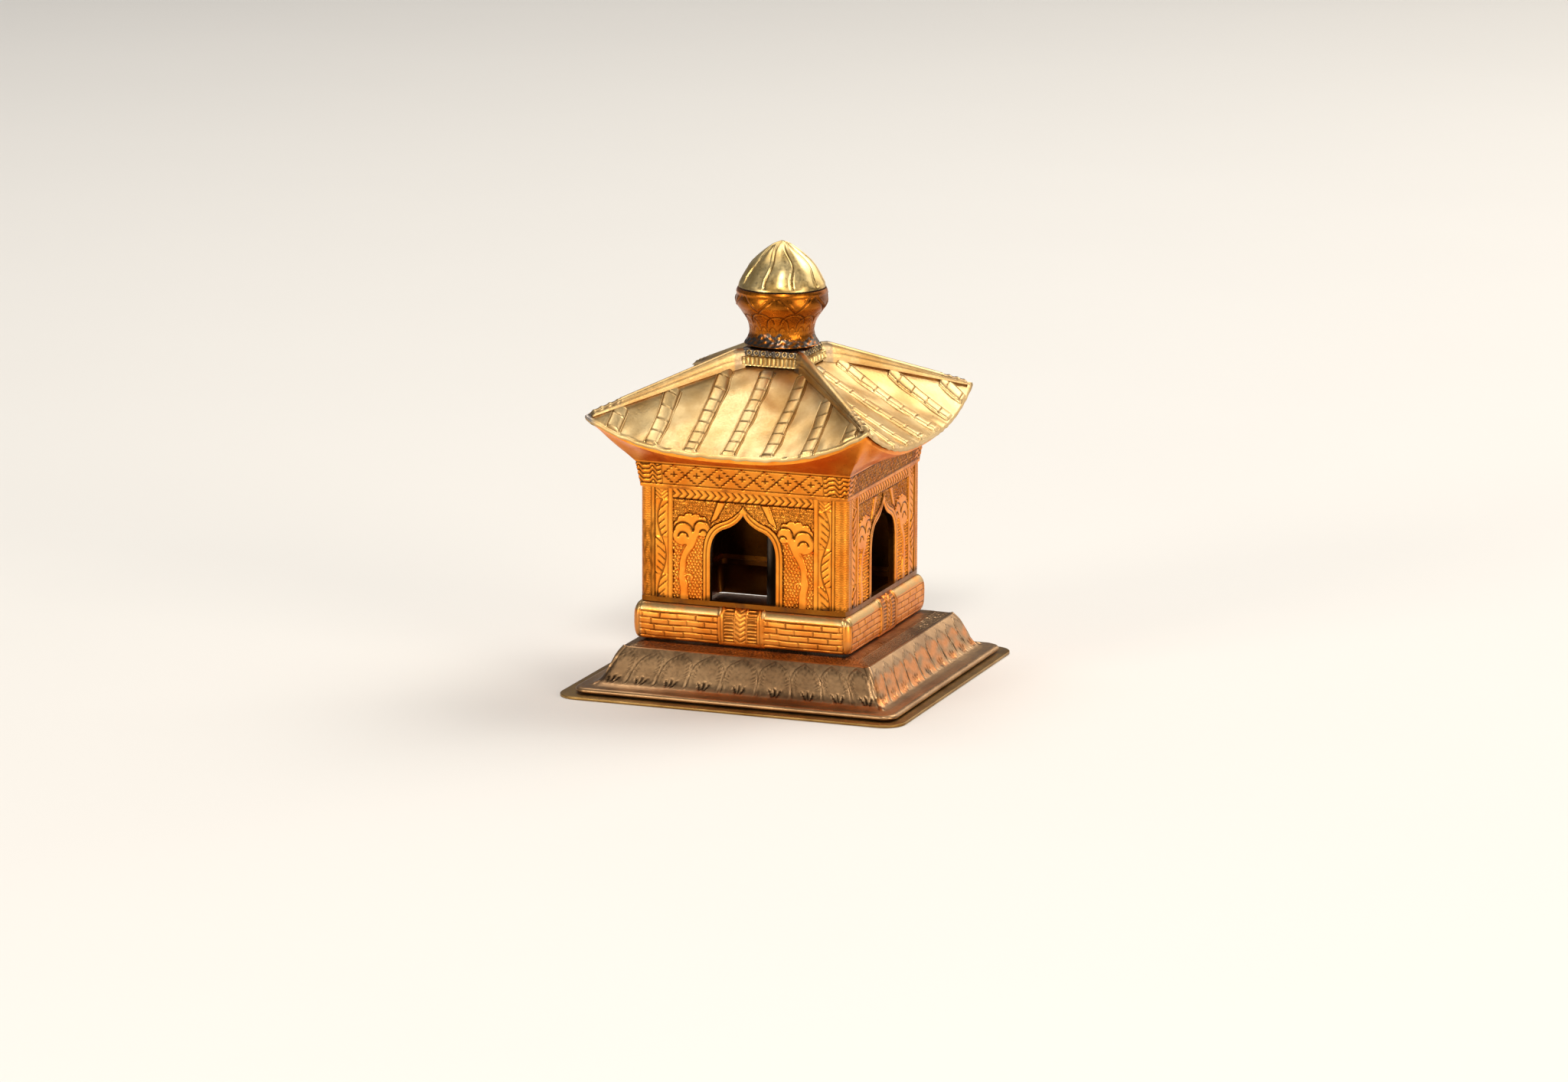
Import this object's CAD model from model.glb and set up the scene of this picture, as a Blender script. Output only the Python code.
import math

import bpy
import numpy as np
from mathutils import Matrix, Vector


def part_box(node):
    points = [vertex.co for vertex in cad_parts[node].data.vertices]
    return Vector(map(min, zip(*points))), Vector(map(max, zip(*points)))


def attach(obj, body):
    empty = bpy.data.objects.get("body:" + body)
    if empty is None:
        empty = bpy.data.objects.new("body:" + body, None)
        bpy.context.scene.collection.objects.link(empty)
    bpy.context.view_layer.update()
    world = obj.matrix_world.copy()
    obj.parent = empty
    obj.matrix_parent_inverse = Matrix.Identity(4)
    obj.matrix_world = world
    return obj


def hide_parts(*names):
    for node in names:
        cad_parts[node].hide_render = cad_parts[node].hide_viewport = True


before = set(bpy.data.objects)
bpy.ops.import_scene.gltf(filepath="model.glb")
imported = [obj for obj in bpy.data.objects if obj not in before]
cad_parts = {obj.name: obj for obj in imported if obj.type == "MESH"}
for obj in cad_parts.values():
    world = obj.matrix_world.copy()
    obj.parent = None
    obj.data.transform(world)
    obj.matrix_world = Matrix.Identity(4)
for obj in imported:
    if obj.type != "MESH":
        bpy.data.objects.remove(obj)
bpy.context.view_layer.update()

bl_info = {
    "name": "Reliquary casket",
    "version": (1, 0, 0),
    "blender": (4, 5, 0),
    "location": "View3D > Sidebar > Casket",
    "description": "Dresses the solids of a gold and silver pavilion casket with chased and tarnished sheets",
    "category": "Object",
}

MM = 0.001
QUARTER = math.pi / 2
ROW_STEP = 0.87  # of the pitch, so that marks in rows set over by half lie evenly
SHEET_CREASE = math.radians(50)  # a worked sheet looks smooth where it bends less than this
PLAIN_CREASE = math.radians(40)  # a plain piece looks smooth where it bends less than this
SHARP_EDGE = math.radians(60)  # edges that bend more than this are rounded


# Numbers and colours


def linear(hex_colour):
    """An sRGB hex colour as the linear values that a shader takes."""
    parts = [int(hex_colour[i : i + 2], 16) / 255 for i in (1, 3, 5)]
    return tuple(p / 12.92 if p <= 0.04045 else ((p + 0.055) / 1.055) ** 2.4 for p in parts)


def middle(node):
    """The middle of a CAD node in plan, in millimetres."""
    low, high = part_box(node)
    return (low[0] + high[0]) / 2 / MM, (low[1] + high[1]) / 2 / MM


def reach(node):
    """Half the width of a CAD node, in millimetres."""
    low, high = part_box(node)
    return (high[0] - low[0]) / 2 / MM


def heights(node):
    """The lowest and highest level of a CAD node, in millimetres."""
    low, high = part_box(node)
    return low[2] / MM, high[2] / MM


class CasketSizes(bpy.types.PropertyGroup):
    """The sizes of the chased work that a user would change."""

    chasing: bpy.props.FloatProperty(
        name="Chasing", description="Depth of the ground behind the raised ornament",
        default=0.3 * MM, min=0, max=0.4 * MM, precision=5, unit="LENGTH",
    )
    pearl_pitch: bpy.props.FloatProperty(
        name="Pearl pitch", description="Distance between the pearls of the punched ground",
        default=0.56 * MM, min=0.3 * MM, precision=5, unit="LENGTH",
    )
    ring_pitch: bpy.props.FloatProperty(
        name="Matting pitch", description="Distance between the marks of the matting punch",
        default=0.5 * MM, min=0.3 * MM, precision=5, unit="LENGTH",
    )
    lozenge_pitch: bpy.props.FloatProperty(
        name="Lozenge pitch", description="Distance between the lozenges of the frieze",
        default=3.85 * MM, min=2 * MM, precision=5, unit="LENGTH",
    )
    brick_tall: bpy.props.FloatProperty(
        name="Brick course", description="Height of one brick course on the foot moulding",
        default=1.0 * MM, min=0.5 * MM, precision=5, unit="LENGTH",
    )
    nick_pitch: bpy.props.FloatProperty(
        name="Tile length", description="Distance between the nicks across a tile rib",
        default=2.3 * MM, min=1 * MM, precision=5, unit="LENGTH",
    )


class CasketColours(bpy.types.PropertyGroup):
    """The colours of the casket's metals and of the floor."""

    pale_gold: bpy.props.FloatVectorProperty(
        name="Pale gold", description="Roof",
        default=linear("#e3c48c"), subtype="COLOR", min=0, max=1,
    )
    red_gold: bpy.props.FloatVectorProperty(
        name="Red gold", description="Walls and cornice",
        default=linear("#ffa038"), subtype="COLOR", min=0, max=1,
    )
    plate_gold: bpy.props.FloatVectorProperty(
        name="Plate gold", description="Base plate",
        default=linear("#a5834f"), subtype="COLOR", min=0, max=1,
    )
    brown_silver: bpy.props.FloatVectorProperty(
        name="Brown silver", description="Tarnished silver of the plinth",
        default=linear("#b8936a"), subtype="COLOR", min=0, max=1,
    )
    post_silver: bpy.props.FloatVectorProperty(
        name="Post silver", description="Browned silver of the inner post",
        default=linear("#584630"), subtype="COLOR", min=0, max=1,
    )
    solder: bpy.props.FloatVectorProperty(
        name="Solder", description="Grey solder along the seams of the roof",
        default=linear("#77706a"), subtype="COLOR", min=0, max=1,
    )
    floor: bpy.props.FloatVectorProperty(
        name="Floor", description="Pale studio floor",
        default=linear("#e9e6e1"), subtype="COLOR", min=0, max=1,
    )


# Marks of the chaser's punches on a flat sheet, in millimetres. The last number given to `ridge` is half the
# width of a line, and to `rise` the width of a slope. `cut` is given a depth, and how dark the groove is.


def ridge(distance, wide):
    """1 on a line and 0 from `wide` away, with a rounded top."""
    near = np.clip(1 - np.abs(distance) / wide, 0, 1)
    return near * near * (3 - 2 * near)


def rise(value, soft):
    """0 well below zero and 1 well above, with a slope `soft` wide."""
    share = np.clip(value / soft + 0.5, 0, 1)
    return share * share * (3 - 2 * share)


def beat(place, pitch):
    """How far each place is from the nearest of a row of marks."""
    return (place / pitch - np.round(place / pitch)) * pitch


def wander(x, y, size):
    """A slow wandering between -1 and 1, as a line has that is drawn by hand."""
    turn = 2 * math.pi / size
    first = np.sin(x * turn + 1.3 * np.sin(y * turn * 0.7 + 0.6))
    second = np.sin(y * turn * 1.1 + 1.7 * np.sin(x * turn * 0.6 + 2.1))
    return 0.5 * (first + second)


def scatter(number):
    """A number between 0 and 1 without order, always the same one for the same number."""
    return np.modf(np.abs(np.sin(number * 12.9898 + 4.1) * 43758.5453))[0]


def punched(x, y, pitch):
    """The distance from rows of round marks, every second row set over by half a pitch, a little uneven."""
    row = np.round(y / (pitch * ROW_STEP))
    over = x + 0.5 * pitch * (row % 2)
    column = np.round(over / pitch)
    seed = row * 57 + column
    off_x = over - (column + 0.25 * (scatter(seed) - 0.5)) * pitch
    off_y = y - (row + 0.25 * (scatter(seed + 0.5) - 0.5)) * pitch * ROW_STEP
    return np.hypot(off_x, off_y)


def pearls(x, y, pitch):
    """Raised pearls."""
    return ridge(punched(x, y, pitch), pitch * 0.5)


def matting(x, y, pitch):
    """Small sunk rings, close together."""
    return ridge(punched(x, y, pitch) - pitch * 0.3, pitch * 0.24)


def smooth_step(p, q, r, s, t):
    """A smooth step from q to r as `t` goes from 0 to 1, with p before them and s after them."""
    return 0.5 * (2 * q + (r - p) * t + (2 * p - 5 * q + 4 * r - s) * t * t + (3 * q - p - 3 * r + s) * t**3)


def flowing(points, steps=6):
    """A smooth path through a few points."""
    spots = [points[0], *points, points[-1]]
    path = []
    for four in zip(spots, spots[1:], spots[2:], spots[3:]):
        path += [tuple(smooth_step(*values, k / steps) for values in zip(*four)) for k in range(steps)]
    return path + [points[-1]]


def away(path, x, y):
    """The distance of each place from a path."""
    best = np.full(np.shape(x), np.inf)
    for (x0, y0), (x1, y1) in zip(path, path[1:]):
        dx, dy = x1 - x0, y1 - y0
        share = np.clip(((x - x0) * dx + (y - y0) * dy) / (dx * dx + dy * dy), 0, 1)
        best = np.minimum(best, np.hypot(x - x0 - share * dx, y - y0 - share * dy))
    return best


def within(path, x, y):
    """The distance of each place from a closed path, positive inside it."""
    odd = np.zeros(np.shape(x), bool)
    closed = [*path, path[0]]
    for (x0, y0), (x1, y1) in zip(closed, closed[1:]):
        if y0 != y1:
            crossing = (y0 > y) != (y1 > y)
            odd ^= crossing & (x < (x1 - x0) * (y - y0) / (y1 - y0) + x0)
    return np.where(odd, 1, -1) * away(closed, x, y)


class Chasing:
    """The chased work of a sheet as it is worked out: how far it is raised, and how dark its grooves are."""

    def __init__(self, walk):
        self.lift = np.zeros_like(walk)
        self.sunk = np.zeros_like(walk)

    def cut(self, mark, deep, dark):
        """Cuts a mark `deep` millimetres into the sheet and darkens it, both in full where the mark is 1."""
        self.lift -= deep * mark
        self.sunk += dark * mark

    def done(self, solder):
        """The rise of the sheet, and the marks that its metal reads."""
        return self.lift, {"sunk": self.sunk, "solder": solder}


# Worked sheets: a flat grid laid over a surface, with its relief raised along the surface's normal


def deselect():
    """Deselects every object."""
    bpy.ops.object.select_all(action="DESELECT")


def flat_grid(name, across, along):
    """A flat grid of that many faces each way, from -1 to 1."""
    deselect()
    bpy.ops.mesh.primitive_grid_add(x_subdivisions=across, y_subdivisions=along, size=2)
    piece = bpy.context.object
    piece.name = name
    flat = np.empty(3 * len(piece.data.vertices))
    piece.data.vertices.foreach_get("co", flat)
    return piece, flat[0::3].copy(), flat[1::3].copy()


def put_points(piece, spots):
    """Moves every vertex of a piece to its place, given in millimetres."""
    piece.data.vertices.foreach_set("co", (spots * MM).ravel())
    piece.data.update()


def put_marks(piece, marks):
    """Keeps where the metal is sunk and where it is soldered or stained, for its material to read."""
    for name, values in marks.items():
        attribute = piece.data.attributes.new(name, "FLOAT", "POINT")
        attribute.data.foreach_set("value", np.clip(values, 0, 1).astype(np.float32))


def close_up(piece, gap=0.004):
    """Merges doubled vertices, closes open ends, turns all faces outwards and smooths the sheet."""
    deselect()
    bpy.context.view_layer.objects.active = piece
    piece.select_set(True)
    bpy.ops.object.mode_set(mode="EDIT")
    bpy.ops.mesh.select_all(action="SELECT")
    bpy.ops.mesh.remove_doubles(threshold=gap * MM)
    bpy.ops.mesh.fill_holes(sides=0)
    bpy.ops.mesh.select_all(action="SELECT")
    bpy.ops.mesh.normals_make_consistent(inside=False)
    bpy.ops.object.mode_set(mode="OBJECT")
    bpy.ops.object.shade_smooth_by_angle(angle=SHEET_CREASE)
    piece.select_set(False)


def on_side(side, across, out):
    """The place (across, out) of the front, turned to another side: 0 front, 1 right, 2 back, 3 left."""
    turn = side * QUARTER
    cosine, sine = np.cos(turn), np.sin(turn)
    return across * cosine + out * sine, across * sine - out * cosine


def put_on_side(piece, node, side, across, out, height):
    """Moves every vertex of a piece to its place on a side of a CAD node."""
    cx, cy = middle(node)
    x, y = on_side(side, across, out)
    put_points(piece, np.stack([x + cx, y + cy, height], 1))


def round_sides(a):
    """Each place's side, and how far along it lies from -1 to 1, as `a` goes once round from -1 to 1."""
    turn = (a + 1) * 2
    side = np.floor(turn + 1e-9)
    return side % 4, 2 * (turn - side) - 1


def square_round(a, half, corner):
    """Once round a square plan with round corners: x, y, side and the walk from the side's middle."""
    side, along = round_sides(a)
    straight = half - corner
    walk = along * (straight + corner * math.pi / 4)
    distance = np.abs(walk)
    bend = np.clip((distance - straight) / corner, 0, math.pi / 4)
    across = np.sign(walk) * np.where(distance < straight, distance, straight + corner * np.sin(bend))
    x, y = on_side(side, across, straight + corner * np.cos(bend))
    return x, y, side, walk


def profile_rows(spans):
    """Rows along a profile from spans of (half width, height, corner radius, label, faces to the next)."""
    rows = []
    for start, end in zip(spans, spans[1:]):
        for k in range(start[4]):
            share = k / start[4]
            rows.append([p + (q - p) * share for p, q in zip(start[:4], end[:4])])
    return np.array([*rows, list(spans[-1][:4])])


def square_sheet(name, node, columns, rows, relief):
    """A worked sheet round a square plan. `relief` gives heights and marks from side, walk and label."""
    cx, cy = middle(node)
    faces = len(rows) - 1
    piece, a, b = flat_grid(name, 4 * columns, faces)

    def place(a, b):
        row = (b + 1) / 2 * faces
        half, height, corner, label = (np.interp(row, np.arange(faces + 1), rows[:, k]) for k in range(4))
        x, y, side, walk = square_round(a, half, corner)
        return np.stack([x + cx, y + cy, height], 1), side, walk, label

    spots, side, walk, label = place(a, b)
    lift, marks = relief(side, walk, label)
    raise_along_normal(piece, spots, place, a, b, 0.5 / columns, 1 / faces, lift)
    put_marks(piece, marks)
    close_up(piece)
    return piece


def raise_along_normal(piece, spots, place, a, b, step_a, step_b, lift):
    """Moves each spot of the surface outwards by its lift."""
    side_on = place(a + step_a * 0.3, b)[0] - place(a - step_a * 0.3, b)[0]
    up = place(a, np.minimum(b + step_b, 1))[0] - place(a, np.maximum(b - step_b, -1))[0]
    normal = np.cross(side_on, up)
    normal /= np.maximum(np.linalg.norm(normal, axis=1, keepdims=True), 1e-12)
    put_points(piece, spots + normal * lift[:, None])


def round_sheet(name, node, columns, profile, relief):
    """A worked sheet of revolution. `profile` is rows of (radius, height, label)."""
    cx, cy = middle(node)
    rows = np.array(profile)
    faces = len(rows) - 1
    piece, a, b = flat_grid(name, columns, faces)

    def place(a, b):
        row = (b + 1) / 2 * faces
        radius, height, label = (np.interp(row, np.arange(faces + 1), rows[:, k]) for k in range(3))
        angle = a * math.pi
        spots = np.stack([cx + radius * np.cos(angle), cy + radius * np.sin(angle), height], 1)
        return spots, angle, radius, label

    spots, angle, radius, label = place(a, b)
    lift, marks = relief(angle, radius, label)
    raise_along_normal(piece, spots, place, a, b, 1 / columns, 1 / faces, lift)
    put_marks(piece, marks)
    close_up(piece)
    return piece


def even_rows(points, spacing):
    """Rows evenly spaced along a smooth profile through a few points, with the distance walked as label."""
    path = np.array(flowing(points, 12))
    walked = np.concatenate([[0], np.cumsum(np.linalg.norm(np.diff(path, axis=0), axis=1))])
    count = max(2, int(round(walked[-1] / spacing)))
    at = np.linspace(0, walked[-1], count + 1)
    return [(np.interp(s, walked, path[:, 0]), np.interp(s, walked, path[:, 1]), s) for s in at]


def finish_piece(piece, node, material):
    """Gives a finished piece its metal and ties it to the CAD node that it stands for."""
    piece.data.materials.clear()
    piece.data.materials.append(material)
    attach(piece, "root")
    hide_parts(node)


# Metals


def add_node(tree, kind, settings, links=()):
    """Adds a node with its own settings and the values of sockets, by name or by number.

    Links are (socket, node it comes from, output there).
    """
    node = tree.nodes.new(kind)
    for key, value in settings.items():
        if isinstance(key, str) and hasattr(node, key):
            setattr(node, key, value)
        else:
            node.inputs[key].default_value = value
    for socket, source, output in links:
        tree.links.new(source.outputs[output], node.inputs[socket])
    return node


def empty_material(name):
    """A new material without nodes, and its node tree."""
    material = bpy.data.materials.new(name)
    material.use_nodes = True
    material.node_tree.nodes.clear()
    return material, material.node_tree


def rgba(colour, dim=1.0):
    """A colour as a socket takes it, from sRGB hex or from linear values."""
    values = linear(colour) if isinstance(colour, str) else colour
    return tuple(c * dim for c in values[:3]) + (1.0,)


# Sockets of a node that mixes two colours
SHARE, FIRST, SECOND, MIXED = 0, 6, 7, 2


def worked_metal(name, clear, dull, groove, stain, rough, patch_mm, grain_mm, grain_deep_mm):
    """Sheet metal worked by hand: two tones in patches, dark in its grooves, stained where it is soldered."""
    material, tree = empty_material(name)
    coords = add_node(tree, "ShaderNodeTexCoord", {})
    on_piece = [("Vector", coords, "Object")]
    patch_look = {"Scale": 1 / (patch_mm * MM), "Detail": 4.0, "Roughness": 0.6}
    patches = add_node(tree, "ShaderNodeTexNoise", patch_look, on_piece)
    grain_look = {"Scale": 1 / (grain_mm * MM), "Detail": 3.0, "Roughness": 0.55}
    grain = add_node(tree, "ShaderNodeTexNoise", grain_look, on_piece)
    patch_range = {"From Min": 0.38, "From Max": 0.66}
    patch_share = add_node(tree, "ShaderNodeMapRange", patch_range, [(0, patches, "Fac")])
    two_tones = {"data_type": "RGBA", FIRST: rgba(clear), SECOND: rgba(dull)}
    base = add_node(tree, "ShaderNodeMix", two_tones, [(SHARE, patch_share, 0)])
    sunk = add_node(tree, "ShaderNodeAttribute", {"attribute_name": "sunk"})
    darkest = {"operation": "MULTIPLY", 1: 0.94}
    sunk_share = add_node(tree, "ShaderNodeMath", darkest, [(0, sunk, "Fac")])
    groove_tone = {"data_type": "RGBA", SECOND: rgba(groove)}
    grooved = add_node(tree, "ShaderNodeMix", groove_tone, [(SHARE, sunk_share, 0), (FIRST, base, MIXED)])
    solder = add_node(tree, "ShaderNodeAttribute", {"attribute_name": "solder"})
    spread = {"operation": "MULTIPLY_ADD", 1: 0.9, 2: -0.45}
    ragged = add_node(tree, "ShaderNodeMath", spread, [(0, patches, "Fac")])
    run_out = add_node(tree, "ShaderNodeMath", {"operation": "ADD"}, [(0, solder, "Fac"), (1, ragged, 0)])
    solder_range = {"From Min": 0.3, "From Max": 0.6}
    solder_share = add_node(tree, "ShaderNodeMapRange", solder_range, [(0, run_out, 0)])
    stain_tone = {"data_type": "RGBA", SECOND: rgba(stain)}
    coated = add_node(tree, "ShaderNodeMix", stain_tone, [(SHARE, solder_share, 0), (FIRST, grooved, MIXED)])
    rough_range = {"From Min": 0.3, "From Max": 0.7, "To Min": rough - 0.07, "To Max": rough + 0.09}
    roughness = add_node(tree, "ShaderNodeMapRange", rough_range, [(0, grain, "Fac")])
    beaten = {"Strength": 0.6, "Distance": grain_deep_mm * MM}
    bump = add_node(tree, "ShaderNodeBump", beaten, [("Height", grain, "Fac")])
    shader = add_node(
        tree, "ShaderNodeBsdfPrincipled", {"Metallic": 1.0},
        [("Base Color", coated, MIXED), ("Roughness", roughness, 0), ("Normal", bump, 0)],
    )
    add_node(tree, "ShaderNodeOutputMaterial", {}, [("Surface", shader, 0)])
    return material


def pale_gold():
    """Beaten pale gold: bright and satin, with faint darker patches where it was handled."""
    colours = bpy.context.scene.casket_colours
    return worked_metal(
        "Beaten pale gold", clear=colours.pale_gold, dull="#c69d60", groove="#744a1e", stain=colours.solder,
        rough=0.4, patch_mm=7, grain_mm=0.3, grain_deep_mm=0.025,
    )


def bud_gold():
    """Older pale gold of the bud's cap: polished by touch, browner in its hollows."""
    return worked_metal(
        "Polished pale gold", clear="#f2d596", dull="#cfa860", groove="#55330f", stain="#5e5348",
        rough=0.33, patch_mm=5, grain_mm=0.4, grain_deep_mm=0.008,
    )


def cup_gold():
    """Gold of the bud's cup: redder and duller than its cap, with grey solder round its foot."""
    return worked_metal(
        "Reddened gold", clear="#bd6c1c", dull="#8e4d12", groove="#3c1c08", stain="#5b5148",
        rough=0.3, patch_mm=5, grain_mm=0.4, grain_deep_mm=0.01,
    )


def collar_gold():
    """Pale gold of the collar: bright on its flutes, dark grey where solder has run between its beads."""
    return worked_metal(
        "Soldered pale gold", clear="#eccb8c", dull="#cda662", groove="#4a3216", stain="#5a5149",
        rough=0.32, patch_mm=3, grain_mm=0.4, grain_deep_mm=0.012,
    )


def moulding_gold():
    """Chased red gold of the moulding: as the walls, but paler where solder has run over its top."""
    return worked_metal(
        "Soldered red gold", clear="#ee963e", dull="#d47626", groove="#281003", stain="#c6a068",
        rough=0.37, patch_mm=4, grain_mm=0.3, grain_deep_mm=0.015,
    )


def red_gold():
    """Chased red gold: warm orange on the raised work, dark brown in the grooves."""
    clear = bpy.context.scene.casket_colours.red_gold
    return worked_metal(
        "Chased red gold", clear=clear, dull="#ee8526", groove="#241003", stain="#4a3020",
        rough=0.34, patch_mm=4, grain_mm=0.3, grain_deep_mm=0.012,
    )


def brown_silver():
    """Silver with a brown tarnish: smooth, a little shiny, and copper red where it is rubbed on one side."""
    clear = bpy.context.scene.casket_colours.brown_silver
    return worked_metal(
        "Tarnished silver", clear=clear, dull="#92704e", groove="#2a1a0e", stain="#c58048",
        rough=0.38, patch_mm=9, grain_mm=0.5, grain_deep_mm=0.012,
    )


def plate_gold():
    """Rolled gold sheet: dull, with a fine uneven grain."""
    clear = bpy.context.scene.casket_colours.plate_gold
    return worked_metal(
        "Rolled gold sheet", clear=clear, dull="#86622f", groove="#5a3d1c", stain="#7a6a55",
        rough=0.4, patch_mm=8, grain_mm=0.6, grain_deep_mm=0.015,
    )


def post_silver():
    """Plain old silver, browned by tarnish and satin."""
    clear = bpy.context.scene.casket_colours.post_silver
    return worked_metal(
        "Old silver", clear=clear, dull="#4c3c2c", groove="#2c2218", stain="#5c5046",
        rough=0.38, patch_mm=5, grain_mm=0.5, grain_deep_mm=0.02,
    )


# Base plate and post


def fill_box(name, low, high):
    """Names the new primitive and stretches it to fill a box."""
    piece = bpy.context.object
    piece.name = name
    piece.scale = high - low
    bpy.ops.object.transform_apply(location=True, rotation=True, scale=True)
    return piece


def soften(piece, name, wide):
    """Rounds the sharp edges of a piece and smooths it."""
    bevel = piece.modifiers.new(name, "BEVEL")
    bevel.width = wide * MM
    bevel.segments = 3
    bevel.limit_method = "ANGLE"
    bevel.angle_limit = SHARP_EDGE
    bpy.ops.object.modifier_apply(modifier=bevel.name)
    bpy.ops.object.shade_smooth_by_angle(angle=PLAIN_CREASE)


class CASKET_OT_base_plate(bpy.types.Operator):
    """The thin gold sheet under everything, with round corners"""

    bl_idname = "casket.base_plate"
    bl_label = "Base plate"

    def execute(self, context):
        low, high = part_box("base_plate")
        deselect()
        bpy.ops.mesh.primitive_cube_add(size=1, location=(low + high) / 2)
        plate = fill_box("gold_base_plate", low, high)
        bpy.ops.object.mode_set(mode="EDIT")
        bpy.ops.mesh.select_mode(type="EDGE")
        bpy.ops.mesh.select_all(action="DESELECT")
        bpy.ops.object.mode_set(mode="OBJECT")
        for edge in plate.data.edges:
            ends = [plate.data.vertices[k].co for k in edge.vertices]
            edge.select = abs(ends[0].z - ends[1].z) > 0.1 * MM
        bpy.ops.object.mode_set(mode="EDIT")
        bpy.ops.mesh.bevel(offset=3.5 * MM, segments=12, affect="EDGES")
        bpy.ops.object.mode_set(mode="OBJECT")
        soften(plate, "Rounded edge", 0.16)
        finish_piece(plate, "base_plate", plate_gold())
        return {"FINISHED"}


class CASKET_OT_silver_post(bpy.types.Operator):
    """The oval silver post that the pavilion is lowered over"""

    bl_idname = "casket.silver_post"
    bl_label = "Silver post"

    def execute(self, context):
        low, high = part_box("silver_post")
        deselect()
        bpy.ops.mesh.primitive_cylinder_add(vertices=96, radius=0.5, depth=1, location=(low + high) / 2)
        post = fill_box("oval_silver_post", low, high)
        soften(post, "Rounded rim", 0.3)
        finish_piece(post, "silver_post", post_silver())
        return {"FINISHED"}


# Plinth

# The slope from its crest to its foot and the rounded edge of the flange, as (half width, height)
PLINTH_SLOPE = ((20.9, 7.45), (21.8, 6.25), (22.8, 4.3), (23.6, 2.75), (24.3, 2.05), (25.2, 1.68))
FLANGE_ROLL = ((26.1, 1.58), (26.6, 1.6), (26.95, 1.44), (27.1, 1.2), (27.1, 0.95), (27.0, 0.8))
SLOPE_CREST = PLINTH_SLOPE[0][0]
SLOPE_FOOT = PLINTH_SLOPE[-1][0]
SLOPE_LONG = 7.35  # from crest to foot along the slope
HOLLOW = -20  # label of the rows under the plinth, where nothing is chased
FLANGE = 13  # label of the flange, below the petals
PETALS_PER_SIDE = 9
PETAL_SWELL = 0.14  # how much wider than even the petals are in the middle of a side
PETAL_SHIFT = 0.2  # how far they are moved over for that, as a share of a petal


def plinth_rows():
    """The plinth's profile from its hollow, round its flange and up its slope to the middle of its top."""
    slope = even_rows(PLINTH_SLOPE[::-1], 0.15)
    long = slope[-1][2]
    hollow = [(0.4, 7.5, 0.3, 1), (17.9, 7.5, 1.0, 2), (20.4, 6.4, 1.6, 2)]
    hollow += [(23.0, 1.6, 2, 1), (24.2, 0.8, 2, 1)]
    spans = [(half, height, corner, HOLLOW, faces) for half, height, corner, faces in hollow]
    spans += [(half, height, 2.2, FLANGE, 2) for half, height in FLANGE_ROLL[::-1]]
    for half, height, walked in slope:
        spans.append((half, height, 1.9 - 0.2 * (SLOPE_FOOT - half), long - walked, 1))
    spans += [(20.75, 7.52, 1.0, -0.15, 16), (18.6, 8.1, 1.0, -2.4, 4), (17.9, 8.2, 1.0, -3.1, 1)]
    spans += [(16.5, 8.2, 1.0, -4.5, 2), (0.4, 8.2, 0.3, -19, 1)]
    return profile_rows(spans)


def petal_edge(down):
    """Half the width of a lotus petal against the way down from its tip, both as shares."""
    levels = [-1, 0, 0.04, 0.09, 0.17, 0.26, 0.36, 0.5, 0.9]
    return np.interp(down, levels, [-0.9, 0, 0.07, 0.19, 0.35, 0.45, 0.49, 0.49, 0.46])


def petal_strokes(across, share):
    """Three short strokes that fan out from the foot of a petal."""
    fan = np.zeros_like(across)
    for k in (-1, 0, 1):
        x = across - k * (0.5 + 3.2 * (0.82 - share))
        down = (share - 0.74 - 0.03 * k * k) * SLOPE_LONG
        fan = np.maximum(fan, rise(1 - np.hypot(x / 0.2, down / 0.8), 0.5))
    return fan


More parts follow.
